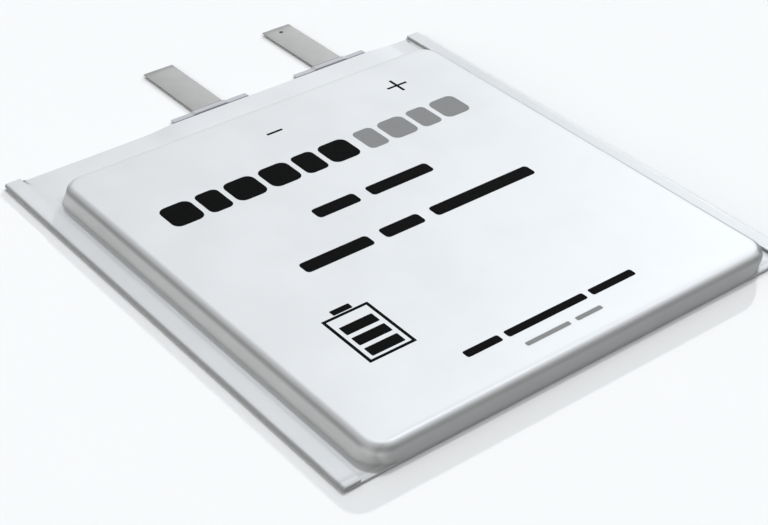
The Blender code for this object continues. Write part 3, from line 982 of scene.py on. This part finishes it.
def ink_piece(name, outlines, mat):
    """Thin closed plates of ink on the cup's face, one for each anticlockwise outline."""
    low = TOP - INK_THICKNESS / 4
    verts = []
    faces = []
    for outline in outlines:
        bottom = list(range(len(verts), len(verts) + len(outline)))
        top = [number + len(outline) for number in bottom]
        verts += [(x, y, low) for x, y in outline]
        verts += [(x, y, low + INK_THICKNESS) for x, y in outline]
        faces += [tuple(reversed(bottom)), tuple(top)]
        faces += grid_faces([top, bottom], wrap=True)
    mesh = bpy.data.meshes.new(name)
    mesh.from_pydata(verts, [], faces)
    mesh.materials.append(mat)
    return register(add_object(name, mesh), POUCH, None)


def plus_outline(cx, cy, half, stroke):
    h = stroke / 2
    quarter = [(half, -h), (half, h), (h, h)]
    points = []
    for k in range(4):
        angle = math.radians(90 * k)
        c, s = math.cos(angle), math.sin(angle)
        points += [(cx + x * c - y * s, cy + x * s + y * c) for x, y in quarter]
    return points


def dash_row(x0, x1, y0, y1, shares, gap):
    """A row of rounded dashes whose lengths are in the given shares."""
    total = x1 - x0 - gap * (len(shares) - 1)
    unit = total / sum(shares)
    shapes = []
    x = x0
    for share in shares:
        shapes.append(rounded_bar(x, x + share * unit, y0, y1, min(y1 - y0, share * unit) * 0.25))
        x += share * unit + gap
    return shapes


def plain_bar(x0, x1, y0, y1):
    return [(x0, y0), (x1, y0), (x1, y1), (x0, y1)]


def frame_shapes(x0, x1, y0, y1, line):
    """The four sides of a rectangular frame, as separate bars a hair apart at the corners."""
    inner = line + FRAME_GAP
    return [
        plain_bar(x0, x1, y0, y0 + line),
        plain_bar(x0, x1, y1 - line, y1),
        plain_bar(x0, x0 + line, y0 + inner, y1 - inner),
        plain_bar(x1 - line, x1, y0 + inner, y1 - inner),
    ]


def make_print():
    """Polarity signs, and plain blocks and dashes where a maker would print its own words."""
    black = ink_material("black_ink", level=0.003, specular=0.02)
    mid_grey = ink_material("grey_ink", level=0.20, specular=0.12)
    ink_piece("minus_sign", [rounded_bar(*MINUS_PLACE, 0.05 * MM)], black)
    ink_piece("plus_sign", [plus_outline(*PLUS_CENTRE, PLUS_HALF, PLUS_STROKE)], black)
    heading = dash_row(*HEADING_PLACE, (4, 3, 4, 4, 3, 4), 0.55 * MM)
    ink_piece("heading_blocks", heading, black)
    heading_end = dash_row(*HEADING_END_PLACE, (3, 4, 3, 4), 0.55 * MM)
    ink_piece("heading_blocks_grey", heading_end, mid_grey)
    rows = dash_row(*UPPER_ROW_PLACE, (4, 6), 1.3 * MM)
    rows += dash_row(*LOWER_ROW_PLACE, (5, 3, 8), 1.3 * MM)
    ink_piece("text_dashes", rows, black)
    ink_piece("small_dashes", dash_row(*SMALL_ROW_PLACE, (3, 7, 4), 0.6 * MM), black)
    ink_piece("fine_dashes", dash_row(*FINE_ROW_PLACE, (5, 3), 0.7 * MM), mid_grey)
    battery = frame_shapes(*PICTOGRAM_PLACE, FRAME_LINE)
    battery += [rounded_bar(*place, 0.1 * MM) for place in [PICTOGRAM_TERMINAL, *PICTOGRAM_BARS]]
    ink_piece("cell_pictogram", battery, black)


# ---------------------------------------------------------------- carried-over nodes


def dress_inner_nodes(sealant):
    """Gives each node of the stack and seals that is still shown its own finish."""
    copper = foil_material(
        "rolled_copper", dark=COPPER_DARK, light=COPPER_LIGHT, rough=0.32, metallic=1.0
    )
    aluminium = foil_material(
        "rolled_aluminium", dark=grey(0.70), light=grey(0.78, COOL), rough=0.34, metallic=1.0
    )
    lithium = foil_material(
        "rolled_lithium", dark=grey(0.50), light=grey(0.64, COOL), rough=0.58, metallic=0.9
    )
    finishes = {
        "copper_foil": copper,
        "aluminium_foil": aluminium,
        "lithium_foil": lithium,
        "cathode_mix": cathode_material(),
        "separator": separator_material(),
        "insulating_tape": tape_material(),
        "sealant": sealant,
    }
    for part in frame["record"]["subparts"]:
        finish = finishes.get(part["material_slot"])
        node = frame["nodes"][part["node"]]
        if finish and not node.hide_render:
            node.data.materials.clear()
            node.data.materials.append(finish)


# ---------------------------------------------------------------- studio

FLOOR_ALBEDO = 0.752
FLOOR_CLOUDS = 0.004
FLOOR_HALF_SIZE = 0.6
FLOOR_Z = -0.01 * MM
KEY_DIRECTION = (0.50, 0.27, 1.0)
KEY_STRENGTH = 1.06
KEY_SHEEN = 1.10
SIDE_DIRECTION = (2.1, 1.5, 1.0)
SIDE_STRENGTH = 1.80
SIDE_SHEEN = 0.36
SUN_ANGLE = 1.5
DAYLIGHT = (0.94, 1.0, 1.055)
NEUTRAL = (1.0, 1.0, 1.0)
CAMERA_PLACE = (-0.08145, -0.10383, 0.08859)
CAMERA_TURN = (54.796, 0.0, -37.94)
CAMERA_LENS = 81.42
CAMERA_SENSOR = 36.0
CAMERA_NEAR = 1.0 * MM

# Softboxes round the table: turned clockwise from the camera's heading, raised, half as wide,
# all in degrees, then their level and colour
SOFTBOXES = {
    "behind_low": (0, 12, 32, 0.66, DAYLIGHT),
    "behind": (0, 45, 42, 0.74, DAYLIGHT),
    "behind_right": (50, 60, 36, 1.10, DAYLIGHT),
    "behind_right_low": (50, 26, 42, 0.34, DAYLIGHT),
    "right": (90, 45, 42, 0.60, NEUTRAL),
    "front_left_low": (225, 12, 32, 3.30, NEUTRAL),
    "front_left": (225, 45, 42, 0.80, NEUTRAL),
    "left": (270, 45, 42, 0.07, NEUTRAL),
    "behind_left": (315, 45, 42, 0.42, DAYLIGHT),
}


def add_sun(name, direction, strength, color=NEUTRAL, diffuse=True, glossy=True):
    light = bpy.data.lights.new(name, "SUN")
    light.energy = strength
    light.color = color
    light.angle = math.radians(SUN_ANGLE)
    obj = add_object(name, light)
    obj.rotation_euler = Vector(direction).to_track_quat("Z", "Y").to_euler()
    obj.visible_diffuse = diffuse
    obj.visible_glossy = glossy


def softbox_direction(turn, rise):
    heading = math.radians(90 + CAMERA_TURN[2] - turn)
    flat = math.cos(math.radians(rise))
    return (flat * math.cos(heading), flat * math.sin(heading), math.sin(math.radians(rise)))


def softbox_glow(tree, direction, softbox):
    """The light of one soft-edged panel, as seen in a direction."""
    turn, rise, half_width, level, color = softbox
    dot = tree.nodes.new("ShaderNodeVectorMath")
    dot.operation = "DOT_PRODUCT"
    dot.inputs[1].default_value = softbox_direction(turn, rise)
    tree.links.new(direction, dot.inputs[0])
    glow = tree.nodes.new("ShaderNodeMapRange")
    glow.interpolation_type = "SMOOTHSTEP"
    glow.inputs["From Min"].default_value = math.cos(math.radians(half_width))
    tree.links.new(dot.outputs["Value"], glow.inputs["Value"])
    panel = tree.nodes.new("ShaderNodeVectorMath")
    panel.operation = "SCALE"
    panel.inputs[0].default_value = [level * channel for channel in color]
    tree.links.new(glow.outputs["Result"], panel.inputs["Scale"])
    return panel.outputs["Vector"]


def add_sky():
    """A dark studio with glowing panels round the table."""
    world = bpy.data.worlds.new("studio")
    bpy.context.scene.world = world
    world.use_nodes = True
    tree = world.node_tree
    direction = tree.nodes.new("ShaderNodeTexCoord").outputs["Generated"]
    total, *others = [softbox_glow(tree, direction, softbox) for softbox in SOFTBOXES.values()]
    for panel in others:
        both = tree.nodes.new("ShaderNodeVectorMath")
        both.operation = "ADD"
        tree.links.new(total, both.inputs[0])
        tree.links.new(panel, both.inputs[1])
        total = both.outputs["Vector"]
    tree.links.new(total, tree.nodes["Background"].inputs["Color"])


def add_studio():
    mesh = bpy.data.meshes.new("studio_floor")
    half = FLOOR_HALF_SIZE
    corners = [(-half, -half), (half, -half), (half, half), (-half, half)]
    mesh.from_pydata([(x, y, FLOOR_Z) for x, y in corners], [], [(0, 1, 2, 3)])
    mesh.materials.append(floor_material())
    floor = add_object("studio_floor", mesh)
    add_sun("key_light", KEY_DIRECTION, KEY_STRENGTH, glossy=False)
    add_sun("key_sheen", KEY_DIRECTION, KEY_SHEEN, color=DAYLIGHT, diffuse=False)
    add_sun("side_light", SIDE_DIRECTION, SIDE_STRENGTH, glossy=False)
    add_sun("side_sheen", SIDE_DIRECTION, SIDE_SHEEN, color=DAYLIGHT, diffuse=False)
    add_sky()
    bpy.context.scene.view_settings.view_transform = "Standard"


def add_camera():
    lens = bpy.data.cameras.new("camera")
    lens.sensor_width = CAMERA_SENSOR
    lens.lens = CAMERA_LENS
    lens.clip_start = CAMERA_NEAR
    camera = add_object("camera", lens)
    camera.location = CAMERA_PLACE
    camera.rotation_euler = [math.radians(angle) for angle in CAMERA_TURN]
    bpy.context.scene.camera = camera


# ---------------------------------------------------------------- build


def build():
    laminate = laminate_material()
    edge = laminate_edge_material()
    sealant = sealant_material()
    nickel = nickel_material()
    film = tab_film_material()
    make_front_film([laminate, edge])
    make_back_film([laminate, edge])
    make_side_seal("right_side_seal", 1, [sealant])
    make_side_seal("left_side_seal", -1, [sealant])
    make_terminal_seal([sealant])
    for pole in TABS:
        make_tab(pole, [nickel])
        make_tab_film(pole, "lower", [film])
        make_tab_film(pole, "upper", [film])
    make_print()
    dress_inner_nodes(sealant)
    add_studio()
    add_camera()


build()
